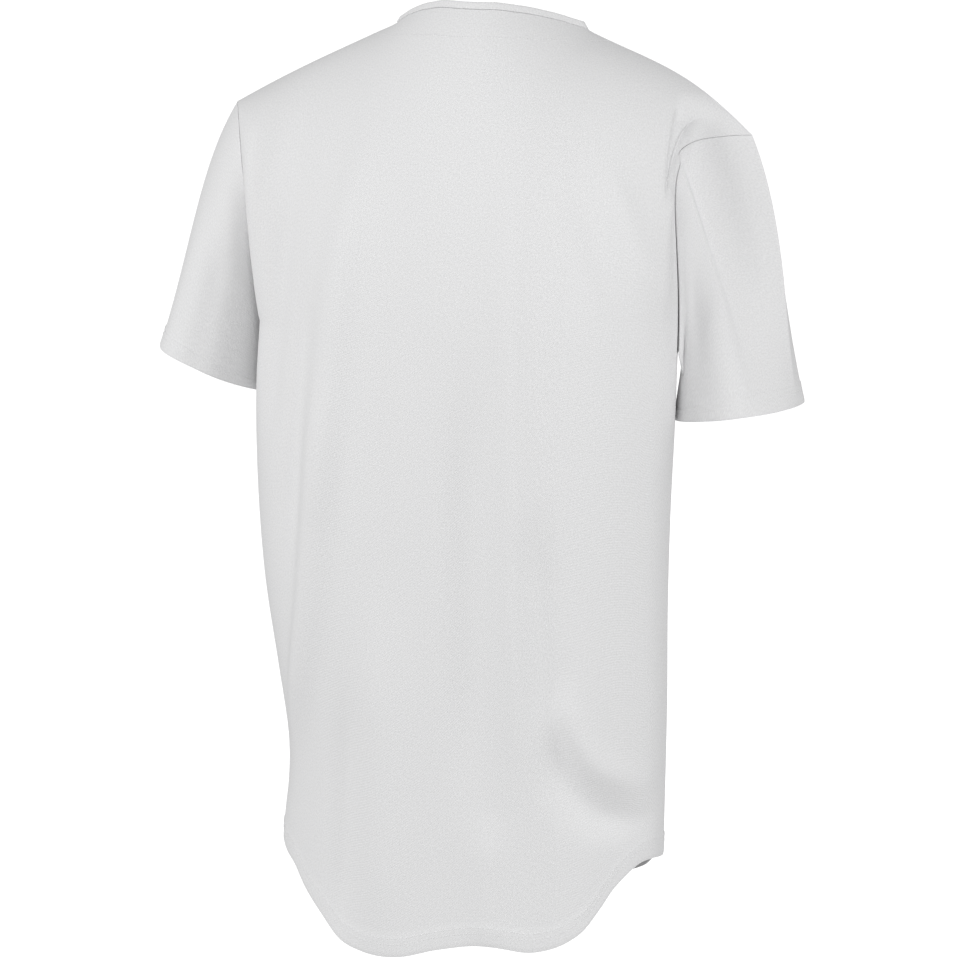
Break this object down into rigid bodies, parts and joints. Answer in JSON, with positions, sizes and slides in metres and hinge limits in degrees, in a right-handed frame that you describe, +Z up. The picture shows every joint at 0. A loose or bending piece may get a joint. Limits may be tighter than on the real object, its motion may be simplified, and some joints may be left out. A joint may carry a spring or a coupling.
{
  "type": "baseball jersey",
  "caption": "Plain white short-sleeved baseball jersey with a full button front and a shirt-tail hem, filled out hollow as if worn",
  "frame": {"origin": "the middle of the neck at the level of the neck points of the shoulder seams, where the wearer's neck and shoulders hold the jersey up", "axes": "+Z up, +Y to the back of the garment, +X to the wearer's left"},
  "size_m": [0.5554, 0.2656, 0.7926],
  "materials": {
    "knit": "matte",
    "binding": "matte",
    "button": "satin"
  },
  "bodies": {
    "root": {"back": "knit", "back_yoke": "knit", "front_left": "knit", "front_right": "knit", "placket_left": "knit", "placket_right": "knit", "sleeve_left": "knit", "sleeve_right": "knit", "neckband": "binding", "button_1": "button", "button_2": "button", "button_3": "button", "button_4": "button", "button_5": "button", "button_6": "button", "button_7": "button"}
  },
  "joints": []
}
